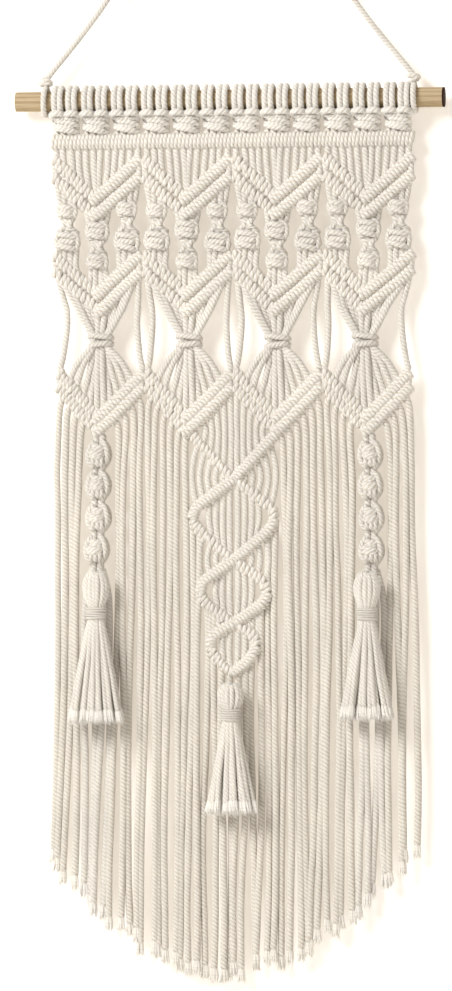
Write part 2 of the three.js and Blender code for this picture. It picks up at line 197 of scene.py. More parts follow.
class Cords:
    """The twisted cords of one piece, gathered into a mesh."""

    def __init__(self):
        self.points, self.faces, self.uvs, self.count = [], [], [], 0

    def add(self, points, quads, uv):
        """One more tube or turn: its points, its faces and their places on the cord map."""
        self.points.append(points.reshape(-1, 3))
        self.faces.append(quads + self.count)
        self.uvs.append(uv)
        self.count += len(self.points[-1])

    def tube(self, path, run, side, up, radii, turns, plain):
        """A tube round a path. `radii` has a row for each ring, whose corners follow the twist."""
        rings, corners = radii.shape
        spin = (turns[:, None] + np.arange(corners) * 2 * math.pi / corners)[..., None]
        off = radii[:, :, None] * (np.cos(spin) * side[:, None] + np.sin(spin) * up[:, None])
        ring, corner = np.arange(rings - 1)[:, None], np.arange(corners)[None]
        quads = quads_between(ring, ring + 1, corner, (corner + 1) % corners, corners)
        u0, v0 = np.broadcast_arrays(run[ring] / TWIST, corner / corners)
        u1 = np.broadcast_to(run[ring + 1] / TWIST, u0.shape)
        v1 = v0 + 1 / corners
        uv = np.stack([u0, v0, u0, v1, u1, v1, u1, v0], axis=-1).reshape(-1, 4, 2)
        if plain:
            uv[..., 1] = LOOSE
        self.add(path[:, None] + off, quads, uv)

    def rope(
        self,
        points,
        radius=ROPE,
        sides=12,
        spacing=ROPE_SPACING,
        ref=(0, 1, 0),
        taper=None,
        turn=0.0,
        lobes=0.15,
        plain=False,
    ):
        """A cord along the points: `lobes` is how deep its strands' grooves are, `turn` where they start."""
        path, run = smooth_path(points, spacing)
        ahead = unit(np.gradient(path, axis=0))
        ref = np.asarray(ref, float)
        side = unit(ref - (ahead @ ref)[:, None] * ahead)
        up = np.cross(ahead, side)
        corner = np.arange(sides) * 2 * math.pi / sides
        lobe = 1 - lobes + lobes * np.abs(np.cos(1.5 * corner)) ** 0.6
        size = np.full(len(path), radius) if taper is None else np.interp(run / run[-1], *taper) * radius
        size = np.concatenate([[size[0] * 0.3], size[1:-1], [size[-1] * 0.3]])
        turns = np.full(len(run), turn) if plain else turn - 2 * math.pi * run / TWIST
        self.tube(path, run, side, up, size[:, None] * lobe, turns, plain)

    def wrap(
        self,
        middle,
        along,
        half_height,
        half_depth,
        width,
        thickness,
        slant=0.0,
        across=None,
        twist=TWIST,
    ):
        """One turn of cord round a row that runs along a direction."""
        steps, sides = 20, 8
        along = np.asarray(along, float)
        across = np.cross(along, (0, 1, 0)) if across is None else np.asarray(across, float)
        depth = unit(np.cross(along, across))
        t = np.arange(steps) * 2 * math.pi / steps
        path = (
            np.asarray(middle)
            + np.outer(np.cos(t) * half_height, across)
            + np.outer(np.sin(t) * half_depth, depth)
            + np.outer(np.cos(t) * slant, along)
        )
        outward = unit(np.outer(np.cos(t) / half_height, across) + np.outer(np.sin(t) / half_depth, depth))
        side = np.tile(along, (steps, 1))
        around = np.arange(sides) * 2 * math.pi / sides
        off = (
            np.cos(around)[None, :, None] * side[:, None] * width
            + np.sin(around)[None, :, None] * outward[:, None] * thickness
        )
        ring, corner = np.arange(steps)[:, None], np.arange(sides)[None]
        quads = quads_between(ring, (ring + 1) % steps, corner, (corner + 1) % sides, sides)[:, [0, 3, 2, 1]]
        length = math.pi * (half_height + half_depth)
        turns = round(length / twist * 3) / 3
        u0, v0 = np.broadcast_arrays(ring / steps * turns, corner / sides)
        u1, v1 = u0 + turns / steps, v0 + 1 / sides
        uv = np.stack([u0, v0 + u0, u1, v0 + u1, u1, v1 + u1, u0, v1 + u0], axis=-1).reshape(-1, 4, 2)
        self.add(path[:, None] + off, quads, uv)

    def fray(self, tip, ahead, spread, length=FRAY):
        """The untwisted yarns and loose fibres of a cut end."""
        yarns, fibres = 7, 10
        golden_turn = 2.4  # radians from one to the next, which spreads them evenly
        tip, ahead = np.asarray(tip, float), unit(np.asarray(ahead, float))
        first = rng.uniform(0, 2 * math.pi)
        for i in range(yarns + fibres):
            thick = i < yarns
            angle = first + i * golden_turn
            out = np.array([math.cos(angle), 0.6 * math.sin(angle), 0])
            reach = length * (rng.uniform(0.6, 0.85) if thick else rng.uniform(0.7, 1.05))
            near = tip + out * (1.3 if thick else 1.7)
            middle = tip + ahead * reach * 0.5 + out * rng.uniform(0.8, 1.15) * spread
            far = tip + ahead * reach + out * rng.uniform(0.7, 1.8) * spread
            self.rope(
                [near - ahead * 3, middle, far],
                radius=1.15 if thick else 0.42,
                sides=8 if thick else 5,
                spacing=3.4,
                taper=((0, 0.5, 1), (1, 1.0, 0.4)),
                lobes=0,
                plain=True,
            )

    def piece(self, name, material, body, *replaced, draw_in=True):
        """The cords as one object that rides on a body and stands for CAD nodes."""
        points = np.vstack(self.points)
        if draw_in:
            points = drawn_in(points)
        faces = np.vstack(self.faces)
        mesh = bpy.data.meshes.new(name)
        mesh.vertices.add(len(points))
        mesh.vertices.foreach_set("co", (points / MM).astype(np.float32).ravel())
        mesh.loops.add(faces.size)
        mesh.loops.foreach_set("vertex_index", faces.astype(np.int32).ravel())
        mesh.polygons.add(len(faces))
        mesh.polygons.foreach_set("loop_start", np.arange(0, faces.size, 4, dtype=np.int32))
        mesh.polygons.foreach_set("use_smooth", np.ones(len(faces), bool))
        layer = mesh.uv_layers.new(name="cord")
        layer.uv.foreach_set("vector", np.vstack(self.uvs).astype(np.float32).ravel())
        mesh.update(calc_edges=True)
        mesh.validate()
        mesh.materials.append(material)
        obj = bpy.data.objects.new(name, mesh)
        bpy.context.collection.objects.link(obj)
        if replaced:
            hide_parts(*replaced)
        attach(obj, body)
        return obj


# Materials


def node(tree, kind, inputs=None, **settings):
    """A new node. Each input is a number, a colour, a vector or the output that it is linked to."""
    made = tree.nodes.new(kind)
    for key, value in settings.items():
        setattr(made, key, value)
    for key, value in (inputs or {}).items():
        if hasattr(value, "is_output"):
            tree.links.new(value, made.inputs[key])
        else:
            made.inputs[key].default_value = value
    return made


def math_node(tree, operation, *values):
    return node(tree, "ShaderNodeMath", dict(enumerate(values)), operation=operation).outputs[0]


def noise(tree, vector, scale, detail):
    """Noise, with a finer grain for a greater scale."""
    return node(tree, "ShaderNodeTexNoise", {"Scale": scale, "Detail": detail, "Vector": vector}).outputs[0]


def map_range(tree, value, low, high, to_low, to_high):
    values = {"Value": value, "From Min": low, "From Max": high, "To Min": to_low, "To Max": to_high}
    return node(tree, "ShaderNodeMapRange", values).outputs[0]


def scaled_colour(tree, colour, scale):
    return node(tree, "ShaderNodeVectorMath", {0: colour, "Scale": scale}, operation="SCALE").outputs[0]


def new_material(name):
    material = bpy.data.materials.new(name)
    material.use_nodes = True
    tree = material.node_tree
    return material, tree, tree.nodes["Principled BSDF"]


def cotton(name, light, painted_groove_shade):
    """Three-strand cotton cord: grooves between strands darkened with painted shade, fine yarns along them,
    slight random changes of tone.
    """
    material, tree, shader = new_material(name)
    link = tree.links.new
    uv = node(tree, "ShaderNodeUVMap", uv_map="cord").outputs[0]
    place = node(tree, "ShaderNodeTexCoord").outputs["Object"]
    around = node(tree, "ShaderNodeSeparateXYZ", {0: uv}).outputs[1]
    lobe = math_node(tree, "COSINE", math_node(tree, "MULTIPLY", around, 3 * math.pi))
    lobe = math_node(tree, "ABSOLUTE", lobe)
    stretch = node(tree, "ShaderNodeMapping", {"Scale": (7.0, 34.0, 1.0), 0: uv}).outputs[0]
    yarn = noise(tree, stretch, scale=1.0, detail=4.0)
    shade = noise(tree, place, scale=22.0, detail=3.0)
    fibre = noise(tree, place, scale=1400.0, detail=2.0)
    groove_width = 0.62
    depth = {"From Max": groove_width, "Value": lobe}
    depth = node(tree, "ShaderNodeMapRange", depth, interpolation_type="SMOOTHSTEP").outputs[0]
    # Painted shade: the grooves between strands take the darker groove colour, as if in shade
    strands = {"A": (*painted_groove_shade, 1), "B": (*light, 1), "Factor": depth}
    strands = node(tree, "ShaderNodeMix", strands, data_type="RGBA").outputs["Result"]
    tone = map_range(tree, shade, 0.3, 0.7, 0.93, 1.04)
    yarn_tone = map_range(tree, yarn, 0.35, 0.6, 0.9, 1.02)
    both = math_node(tree, "MULTIPLY", tone, yarn_tone)
    link(scaled_colour(tree, strands, both), shader.inputs["Base Color"])
    # Relief: strands, yarns and fibres, with none where the fibres are loose
    height = math_node(tree, "MULTIPLY", depth, 0.6)
    height = math_node(tree, "ADD", height, math_node(tree, "MULTIPLY", yarn, 0.45))
    height = math_node(tree, "ADD", height, math_node(tree, "MULTIPLY", fibre, 0.25))
    twisted = math_node(tree, "GREATER_THAN", around, LOOSE / 2)
    strength = math_node(tree, "MULTIPLY", twisted, 0.8)
    bump = node(tree, "ShaderNodeBump", {"Strength": strength, "Distance": 0.0006, "Height": height})
    link(bump.outputs[0], shader.inputs["Normal"])
    shader.inputs["Roughness"].default_value = 0.95
    shader.inputs["Specular IOR Level"].default_value = 0.15
    shader.inputs["Sheen Weight"].default_value = 0.35
    shader.inputs["Sheen Roughness"].default_value = 0.6
    return material


def dowel_wood():
    """Bare turned wood: growth rings that run out along the length, fine pores, slight changes of tone, and
    near-black ends with painted shade.
    """
    material, tree, shader = new_material("dowel_wood")
    link = tree.links.new
    place = node(tree, "ShaderNodeTexCoord")
    spot = place.outputs["Object"]
    # The tree's heart lies beside the dowel, and its rings run nearly along it
    heart = node(tree, "ShaderNodeMapping", {0: spot, "Location": (0.0, 0.021, 0.2385)})
    heart.inputs["Rotation"].default_value = (0.0, 0.035, 0.02)
    heart.inputs["Scale"].default_value = (0.12, 1.0, 1.0)
    heart = heart.outputs[0]
    rings = {"Scale": 75.0, "Distortion": 4.0, "Detail": 3.0, "Detail Scale": 0.6, "Vector": heart}
    rings = node(tree, "ShaderNodeTexWave", rings, wave_type="RINGS", rings_direction="X").outputs["Fac"]
    fine = node(tree, "ShaderNodeMapping", {"Scale": (60.0, 1800.0, 1800.0), 0: spot}).outputs[0]
    pores = noise(tree, fine, scale=1.0, detail=4.0)
    ramp = node(tree, "ShaderNodeValToRGB", {0: rings})
    early, late = ramp.color_ramp.elements
    early.color, early.position = (0.455, 0.345, 0.205, 1), 0.1
    late.color, late.position = (0.555, 0.44, 0.285, 1), 0.75
    tone = map_range(tree, pores, 0.3, 0.65, 0.78, 1.05)
    wood = scaled_colour(tree, ramp.outputs[0], tone)
    # End grain, on the faces that look along the dowel: darker wood, with painted shade making it near black,
    # and a rim of painted shade at the right end only
    facing = node(tree, "ShaderNodeSeparateXYZ", {0: place.outputs["Normal"]}).outputs[0]
    across = math_node(tree, "GREATER_THAN", math_node(tree, "ABSOLUTE", facing), 0.5)
    along = node(tree, "ShaderNodeSeparateXYZ", {0: spot}).outputs[0]
    painted_shade_rim = math_node(tree, "GREATER_THAN", along, (DOWEL_HIGH[0] - PAINTED_SHADE_RIM) / MM)
    across = math_node(tree, "MAXIMUM", across, painted_shade_rim)
    end_grain_and_painted_shade = {"B": (0.030, 0.012, 0.007, 1), "Factor": across, "A": wood}
    end_grain_and_painted_shade = node(tree, "ShaderNodeMix", end_grain_and_painted_shade, data_type="RGBA")
    link(end_grain_and_painted_shade.outputs["Result"], shader.inputs["Base Color"])
    bump = node(tree, "ShaderNodeBump", {"Strength": 0.35, "Distance": 0.0004, "Height": pores})
    link(bump.outputs[0], shader.inputs["Normal"])
    rough = map_range(tree, pores, 0.0, 1.0, 0.5, 0.72)
    link(rough, shader.inputs["Roughness"])
    shader.inputs["Specular IOR Level"].default_value = 0.04
    return material


def stage_material(name, colour, see_through_back=False, glow=0.0):
    """Matt paint, with a warm glow of its own where the wall's light has to even out."""
    material, tree, shader = new_material(name)
    shader.inputs["Emission Color"].default_value = (1.0, 0.90, 0.78, 1)
    shader.inputs["Emission Strength"].default_value = glow
    shader.inputs["Base Color"].default_value = (*colour, 1)
    shader.inputs["Roughness"].default_value = 0.9
    if see_through_back:
        facing = node(tree, "ShaderNodeNewGeometry").outputs["Backfacing"]
        clear = node(tree, "ShaderNodeBsdfTransparent").outputs[0]
        mix = node(tree, "ShaderNodeMixShader", {0: facing, 1: shader.outputs[0], 2: clear})
        tree.links.new(mix.outputs[0], tree.nodes["Material Output"].inputs[0])
    return material


# Each kind of cord: its colour on the strands, and the painted shade in the grooves between them
CORD_COTTON = cotton("cord_cotton", (0.835, 0.81, 0.765), (0.67, 0.575, 0.44))
# Painted light: the hitched pairs get a lighter copy of the cotton, brightening them where the dowel and its
# hitches shade them
PAIR_COTTON_PAINTED_LIGHT = cotton("pair_cotton_painted_light", (0.89, 0.87, 0.83), (0.73, 0.64, 0.51))
HITCH_COTTON = cotton("hitch_cotton", (0.84, 0.815, 0.77), (0.68, 0.585, 0.45))
FRINGE_COTTON = cotton("fringe_cotton", (0.835, 0.805, 0.745), (0.63, 0.52, 0.385))
TASSEL_COTTON = cotton("tassel_cotton", (0.855, 0.83, 0.78), (0.72, 0.63, 0.50))

# Camera


def add_camera():
    """The photograph's view: level, a little from the right, and far enough off to be nearly flat."""
    azimuth, distance, view_height, sensor = math.radians(9), 4.2, 0.8, 36
    shift_right, level = -2.6, 319.6
    data = bpy.data.cameras.new("camera")
    camera = bpy.data.objects.new("camera", data)
    bpy.context.collection.objects.link(camera)
    target = Vector((shift_right / MM, 0, at(level) / MM))
    back = Vector((math.sin(azimuth), -math.cos(azimuth), 0))
    camera.location = target + back * distance
    camera.rotation_euler = (-back).to_track_quat("-Z", "Y").to_euler()
    data.sensor_width = sensor
    data.lens = sensor * distance / view_height
    data.clip_end = 50
    bpy.context.scene.camera = camera


add_camera()

# Hanging cord


def hanging_cord():
    """The cord from one turn round the dowel to the other, over its hook, and the tied turns."""
    loop_low, loop_high = box_mm("hanger_loop_right")
    loop_x = (loop_low[0] + loop_high[0]) / 2
    foot = loop_high[2] + 0.3
    bend = 14  # half the width over which the cord turns at its hook
    slope = (foot - CORD) / (loop_x - bend)
    right = [
        (loop_x, foot),
        (loop_x - 1.4, foot + 5),
        (loop_x - 36, foot - 34 * slope),
        (loop_x - 70, foot - 68 * slope),
        (loop_x - 104, foot - 102 * slope),
        (bend + 6, -16),
        (bend / 2, -1),
    ]
    points = [(x, 0, z) for x, z in right] + [(0, 0, CORD)] + [(-x, 0, z) for x, z in reversed(right)]
    cords = Cords()
    cords.rope(points, radius=CORD)
    piece = cords.piece("rope_hanging_cord", CORD_COTTON, "hanger", "hanging_cord", draw_in=False)
    for side, name in ((-1, "hanger_loop_left"), (1, "hanger_loop_right")):
        loop = Cords()
        centre = np.array([side * loop_x, 0, AXIS_Z])
        radius = (box_mm(name)[1][2] - box_mm(name)[0][2]) / 2 - CORD
        turn = np.linspace(0, 2 * math.pi, 26)
        tilt = side * -0.4
        points = [centre + (tilt * math.cos(a), radius * math.sin(a), radius * math.cos(a)) for a in turn]
        loop.rope(points, ref=(1, 0, 0), radius=CORD * 0.97)
        # The tie where the hanging cord leaves its turn: two tucked turns round its foot
        lean = unit(np.array([side * (right[1][0] - right[0][0]), 0, right[1][1] - right[0][1]]))
        for rise, half, slant in ((0.2, 3.9, 1.2), (3.6, 3.5, -1.0)):
            tie = np.array([side * loop_x, 0, foot]) + lean * rise
            loop.wrap(tie, lean, half, half, 1.9, 1.9, slant=slant, across=np.cross((0, 1, 0), lean))
        loop.piece("rope_" + name, CORD_COTTON, "hanger", name, draw_in=False)


hanging_cord()

# Knots


def placed(x, drop, points, side=1):
    """Points of a knot, moved to its place and mirrored where side is -1."""
    return [(x + side * px, py, at(drop) + pz) for px, py, pz in points]


def square_knot(x, drop, half_width, height, depth):
    """Routes of the left and the right working cord of a square knot, from above it to below it."""
    w, b = half_width - ROPE, height / 2 - ROPE
    left = [
        (-w * 0.92, -1.6, b + 1.6),
        (-w * 0.5, -depth, b + 0.4),
        (w * 0.4, -depth - 0.3, b - 0.8),
        (w * 0.95, -2.6, b * 0.35),
        (w, 1.0, -b * 0.3),
        (w * 0.75, 3.4, -b * 0.8),
        (0, depth, -b),
        (-w * 0.85, 2.2, -b - 0.8),
    ]
    right = [
        (w * 0.92, 1.6, b + 1.4),
        (0, depth, b),
        (-w * 0.75, 3.2, b * 0.6),
        (-w, -0.4, b * 0.15),
        (-w * 0.9, -3.4, -b * 0.35),
        (-w * 0.35, -depth - 0.3, -b * 0.75),
        (w * 0.4, -depth, -b - 0.2),
        (w * 0.92, -1.4, -b - 1.4),
    ]
    return placed(x, drop, left), placed(x, drop, right)


def jitter(size):
    return rng.uniform(-size, size)


def any_turn():
    """A random start for a cord's twist."""
    return rng.uniform(0, 6)


def knot_middle(cords, x, drop, half, height=12.0, side=-1):
    """The pulled-in middle of a square knot, seen between its two turns in front (side -1) or behind (1)."""
    lean = height * 0.05
    route = [(x + s * half, side * (4.6 - 0.9 * s * s), at(drop + lean * s)) for s in (-1, -0.5, 0, 0.5, 1)]
    cords.rope(route, radius=height * 0.2)


def lark_half(x, side):
    """One half of a hitched cord: from the middle of its front loop, round the dowel and down."""
    apart = 2.35  # half the pitch of the two turns on the dowel
    route = [
        (0.0, -10.9, -10.6),
        (2.6, -10.7, -10.8),
        (4.9, -8.2, -11.2),
        (4.7, -4.0, -12.4),
        (3.0, 1.5, -11.5),
        (apart, 6.8, -8.4),
        (apart, 10.3, -3.2),
        (apart, 10.3, 3.6),
        (apart, 6.9, 8.5),
        (apart, 0.0, DOWEL_RADIUS + ROPE),
        (apart, -6.9, 8.4),
        (apart, -10.4, 3.0),
        (apart, -9.9, -3.4),
        (2.4, -7.4, -8.4),
        (2.5, -5.0, -12.4),
    ]
    return placed(x, 0, route, side)


LARK_POINTS = 15  # of the part that lark_half draws
BIGHT = (
    (-4.3, -8.6, -10.9),
    (-2.4, -10.6, -10.4),
    (0, -11.0, -10.3),
    (2.4, -10.6, -10.4),
    (4.3, -8.6, -10.9),
)


def cord_pair(index):
    """Two cords hitched on the dowel, with a square knot of their outer legs round the inner ones."""
    x = (index - (PAIRS - 1) / 2) * PAIR_PITCH
    name = f"cord_pair_{index + 1:02d}"
    cords = Cords()
    knot_x, knot_drop = x + jitter(0.4), FIRST_KNOT + jitter(0.5)
    working = square_knot(knot_x, knot_drop, 11.4, 12.6, depth=5.4)
    knot_middle(cords, knot_x, knot_drop, 7.5)
    above_knot = ((-9.2, -4.4), (-4, -6.6), (4, -6.6), (9.2, -4.4))
    cords.rope([(x + px, py, at(14.2)) for px, py in above_knot], radius=2.5)
    for head in (-1, 1):
        middle = x + head * (5.9 + jitter(0.15))
        for side in (-1, 1):
            route = lark_half(middle, side)
            outer = head == side
            if outer:
                route += [(x + head * 8.8, -3.4, at(14.6))] + working[0 if head < 0 else 1]
            else:
                route += placed(x, 0, [(2.9, -4.2, -15.5), (2.7, -2.6, -20.5), (2.8, -1.6, -26)], head)
            route += [(x + head * (9.2 if outer else 3.1), 0, at(30))]
            # In two lengths, so that each meets its reference direction squarely
            cords.rope(route[:LARK_POINTS], ref=(1, 0, 0.02), radius=2.55)
            cords.rope(route[LARK_POINTS - 1 :], ref=(0, 1, 0.02), radius=2.75)
        cords.rope(placed(middle, 0, BIGHT), radius=3.1)
    cords.piece("rope_" + name, PAIR_COTTON_PAINTED_LIGHT, "panel", name)


def hitch_row(cords, route, pitch, half_height, half_depth, lean, thickness=2.1, lumpy=0.0, overlap=0.56):
    """Double half hitches: turns of cord side by side along a route of (x, drop, y)."""
    path, run = smooth_path([(x, y, at(drop)) for x, drop, y in route], 0.5)
    count = max(2, round(run[-1] / pitch))
    step = run[-1] / count

    def spot(place):
        return np.array([np.interp(place, run, path[:, k]) for k in range(3)])

    for i in range(count):
        place = (i + 0.5) * step
        along = unit(spot(place + 0.8) - spot(place - 0.8))
        middle = spot(place) + rng.uniform(-1, 1, 3) * (0.12 + 0.35 * lumpy)
        up, right = jitter(0.5) * lumpy, jitter(0.3) * lumpy
        end = 0.94 if i in (0, count - 1) else 1.0
        cords.wrap(
            middle,
            unit(along + (right, 0, up)),
            (half_height - thickness) * end + jitter(0.1 + 0.5 * lumpy),
            (half_depth - thickness) * end + jitter(0.1 + 0.4 * lumpy),
            step * (overlap + 0.06 * lumpy),
            thickness + 0.3 * lumpy,
            slant=lean * (1.15 if i % 2 else 0.8),
        )
    # The holding cord inside the turns
    core = min(half_height, half_depth) - thickness - 0.4
    cords.rope(path[:: max(1, len(path) // 12)], radius=core, spacing=3)


# Hitched rows: the arms of a zigzag, and the rows of the braid that pass in front and behind
LEFT_ARM = {"pitch": 4.1, "half_height": 5.5, "half_depth": 5.3, "lean": -1.2, "lumpy": 0.6}
RIGHT_ARM = {"pitch": 3.1, "half_height": 5.6, "half_depth": 5.4, "lumpy": 0.08, "overlap": 0.68}
FRONT_ROW = {"pitch": 3.0, "half_height": 5.1, "half_depth": 5.0, "lean": 0.5, "lumpy": 0.1, "overlap": 0.67}
BACK_ROW = {"pitch": 3.9, "half_height": 4.8, "half_depth": 4.7, "lean": -1.0, "lumpy": 0.6}


def hitch_bar():
    """The straight row across the panel."""
    cords = Cords()
    half_width = PANEL_WIDTH / 2
    half_height = (BAR_HIGH[2] - BAR_LOW[2]) / 2
    route = [(half_width * share, BAR_LEVEL + jitter(0.25), -0.6) for share in np.linspace(-1, 1, 17)]
    hitch_row(cords, route, LEG_PITCH / 2, half_height, 6.0, lean=0.9, thickness=2.4, overlap=0.64)
    cords.piece("rope_hitch_bar", HITCH_COTTON, "panel", "hitch_bar")


def chevron(cords, levels, middle):
    """Two zigzag rows. Each right arm runs over the left one at the bottom."""
    half = REPEAT_WIDTH / 2
    for row in ("upper", "lower"):
        peak, bottom = levels[row]
        slope = (bottom - peak) / half
        left = [
            (middle - half + 0.8, peak + 0.6, 0),
            (middle - half / 2, (peak + bottom) / 2 + 0.4, 0.2),
            (middle - 3.0, bottom - 2.2, 0.9),
        ]
        right = [
            (middle + half - 0.8, peak + 0.6, 0),
            (middle + half / 2, (peak + bottom) / 2 - 0.5, -1.0),
            (middle - 1.5, bottom - 0.2, -1.4),
            (middle - 4.2, bottom + 1.5, -0.8),
        ]
        hitch_row(cords, left, **LEFT_ARM)
        hitch_row(cords, right, lean=0.6 * slope, thickness=2.2, **RIGHT_ARM)


# Where a repeat's legs hang, from its middle
OFFSETS = [(i - 5.5) * LEG_PITCH for i in range(LEGS // REPEATS)]


def leg_between(cords, x, high, low, x_low=None, bow=0.0, y=0.0, radius=ROPE):
    """A short leg from one row to the next, bowed a little to one side."""
    x_low = x if x_low is None else x_low
    points = []
    for share in (0, 0.25, 0.5, 0.75, 1):
        bowed_x = x + (x_low - x) * share + (bow * math.sin(math.pi * share)) + jitter(0.2)
        points.append((bowed_x, y + jitter(0.5), at(high + (low - high) * share)))
    cords.rope(points, turn=any_turn(), radius=radius)


def slack_leg(cords, x, side):
    """An outermost leg between the second and the third zigzag, slack enough to bow inwards."""
    high, low = ZIGZAGS[1]["lower"][0] + 2, ZIGZAGS[2]["upper"][0]
    bow = side * (3.4 + jitter(1.2))
    points = [
        (x, 0, at(high)),
        (x - bow * 0.5, 1.0, at(high + 18)),
        (x - bow, 1.6, at((high + low) / 2)),
        (x - bow * 0.4, 0.8, at(low - 14)),
        (x + side * 1.5, 0, at(low)),
    ]
    cords.rope(points, turn=any_turn())


def zigzags(repeat):
    """One repeat of the three zigzags, with the plain legs above the first and below the second."""
    middle = repeat_middle(repeat)
    link_offset = 34.0  # of the legs that join a zigzag's two rows
    for number, levels in enumerate(ZIGZAGS, 1):
        cords = Cords()
        chevron(cords, levels, middle)
        for side in (-1, 1):
            x = middle + side * link_offset
            high, low = levels["upper"][0], levels["lower"][0]
            leg_between(cords, x, high - 1, low + 3, bow=side * 0.5, y=-0.8)
        if number == 1:
            for offset in OFFSETS:
                low = row_level(levels["upper"], offset)
                shift = -math.copysign(min(2.4, (low - BAR_LEVEL) * 0.07), offset) + jitter(0.4)
                x = middle + offset
                leg_between(cords, x, BAR_LEVEL + 3, low, x + shift, bow=jitter(0.7))
        if number == 2:
            for side in (-1, 1):
                slack_leg(cords, middle + side * 5.5 * LEG_PITCH, side)
        name = f"chevron_{number}_{repeat + 1}"
        cords.piece("rope_" + name, HITCH_COTTON, "panel", name)


# Half width and height of a sennit's two knots
CENTRE_SIZES = ((10.0, 15.0), (9.0, 12.5))
SIDE_SIZES = ((8.4, 12.0), (10.8, 16.0))
# A bulge at each side of such a knot: across, forward, and a share of the knot's height
BUMP = ((3.2, -1.5, 0.52), (7.2, -3.4, 0.22), (7.3, -3.2, -0.25), (3.4, -1.5, -0.5))
BUMP_WIDTH = 9.5  # half width of the knot that it is drawn for


def sennit(repeat, place):
    """Four legs with two square knots between the first and the second zigzag, drawn in between the knots."""
    middle = repeat_middle(repeat)
    offset = (place - 1) * PAIR_PITCH
    x = middle + offset + jitter(0.6)
    first, second = CENTRE_KNOTS if place == 1 else SIDE_KNOTS
    first, second = first + jitter(1.2), second + jitter(1.2)
    cords = Cords()
    sizes = CENTRE_SIZES if place == 1 else SIDE_SIZES
    upper = square_knot(x + jitter(0.5), first, *sizes[0], depth=5.6)
    lower = square_knot(x + jitter(0.5), second, *sizes[1], depth=5.6)
    waist_level = (first + second) / 2 + jitter(0.4)
    for leg in range(4):
        spread = offset + (leg - 1.5) * LEG_PITCH
        high = row_level(ZIGZAGS[0]["lower"], spread)
        low = row_level(ZIGZAGS[1]["upper"], spread)
        top, foot = (middle + spread, 0, at(high)), (middle + spread, 0, at(low))
        if leg in (0, 3):
            hand = 0 if leg == 0 else 1
            side = -1 if leg == 0 else 1
            drawn = (x + side * 2.05, -3.0 - 0.5 * side, at(waist_level))
            away = (x + side * 6.5, -1.0, at((second + sizes[1][1] / 2 + low) / 2 + 1))
            route = [top, *upper[hand], drawn, *lower[hand], away, foot]
        else:
            near = x + (leg - 1.5) * 4.8
            route = [
                top,
                (near, -1.2, at(first - 5)),
                (near, -3.2, at(first)),
                (x + (leg - 1.5) * 3.6, 1.6, at(waist_level)),
                (near, -3.2, at(second)),
                (near, -1.0, at(second + 6)),
                foot,
            ]
        cords.rope(route, ref=(0.02, 1, 0.02), turn=any_turn(), radius=2.65)
    # The core that the knots are tied round
    cords.rope([(x, -1.2, at(first)), (x, -0.8, at(waist_level)), (x, -1.2, at(second))], radius=3.9)
    for knot, (half, height) in ((first, sizes[0]), (second, sizes[1])):
        knot_middle(cords, x, knot, half * 0.66, height)
        knot_middle(cords, x, knot, half * 0.66, height, side=1)
        for side in (-1, 1):
            bump = [(px * half / BUMP_WIDTH, py, pz * height) for px, py, pz in BUMP]
            cords.rope(placed(x, knot, bump, side), radius=2.3)
    name = f"sennit_{SENNITS * repeat + place + 1:02d}"
    cords.piece("rope_" + name, CORD_COTTON, "panel", name)


# Legs of a cross knot by rank, from its middle outwards: where they leave the row above, and their depth
CROSS_LEAVES = (3.0, 8.5, 14.5, 25.5, 31.5)
CROSS_LAYERS = (-2.0, 1.9, 0.4, -2.6, -3.0)
CROSS_BAND = (
    (-8.6, 2.6, 0.4),
    (-9.0, -1.5, 0.8),
    (-6.2, -5.6, 1.6),
    (0, -6.4, 0.9),
    (6.2, -5.6, 0.2),
    (9.0, -1.5, -0.4),
    (8.4, 2.6, -0.6),
)


def cross_knot(repeat):
    """Ten legs gathered in a square knot between the second and the third zigzag."""
    middle = repeat_middle(repeat)
    cords = Cords()
    x, drop = middle + jitter(0.8), CROSS_KNOT + jitter(1.2)
    for spread in OFFSETS[1:-1]:
        side = math.copysign(1, spread)
        rank = int(abs(spread) / LEG_PITCH)
        leaves = side * CROSS_LEAVES[rank]
        high = row_level(ZIGZAGS[1]["lower"], leaves)
        low = row_level(ZIGZAGS[2]["upper"], spread)
        near = side * (1.6 + 1.35 * rank)
        layer = CROSS_LAYERS[rank]
        sag = 0.54 if rank >= 3 else 0.42
        cords.rope(
            [
                (middle + leaves, 0, at(high)),
                (x + near + (leaves - near) * 0.5, layer, at(high + (drop - high) * 0.5)),
                (x + near, layer, at(drop - 5.0)),
                (x + near * 0.93, layer, at(drop)),
                (x + near, layer, at(drop + 5.0)),
                (x + near + (spread - near) * sag, layer * 0.8, at(drop + (low - drop) * 0.5)),
                (middle + spread, 0, at(low)),
            ],
            turn=any_turn(),
        )
    for level, mirror in ((2.9, 1), (-3.4, -1)):
        behind = [(px, 0.6 - py, pz) for px, py, pz in CROSS_BAND]
        cords.rope(placed(x, drop - level, CROSS_BAND, mirror), radius=2.45)
        cords.rope(placed(x, drop - level, behind, mirror), radius=2.45)
    name = f"cross_knot_{repeat + 1}"
    cords.piece("rope_" + name, CORD_COTTON, "panel", name)


def fringe_leg(cords, x, top, y=0.0, start=None):
    """One free leg down to the hem, with its cut end frayed."""
    sway, waves, step = 1.9, 4.6, 42
    hem = hem_drop(x) - FRAY + rng.uniform(-7, 3)
    count = max(4, int((hem - top) / step))
    phase, depth, lag = rng.uniform(0, 6), rng.uniform(-1.2, 2.4), rng.uniform(-2.2, 2.2)
    points = [] if start is None else [start]
    for i in range(count + 1):
        share = i / count
        ease = min(1, share * 4)
        dx = ease * (sway * math.sin(phase + waves * share) + jitter(0.4)) + lag * share**3
        points.append((x + dx, y + ease * (depth + jitter(0.3)), at(top + (hem - top) * share)))
    cords.rope(points, turn=any_turn(), radius=ROPE * rng.uniform(1.0, 1.1), lobes=0.1)
    cords.fray(points[-1], np.subtract(points[-1], points[-2]), spread=2.5)


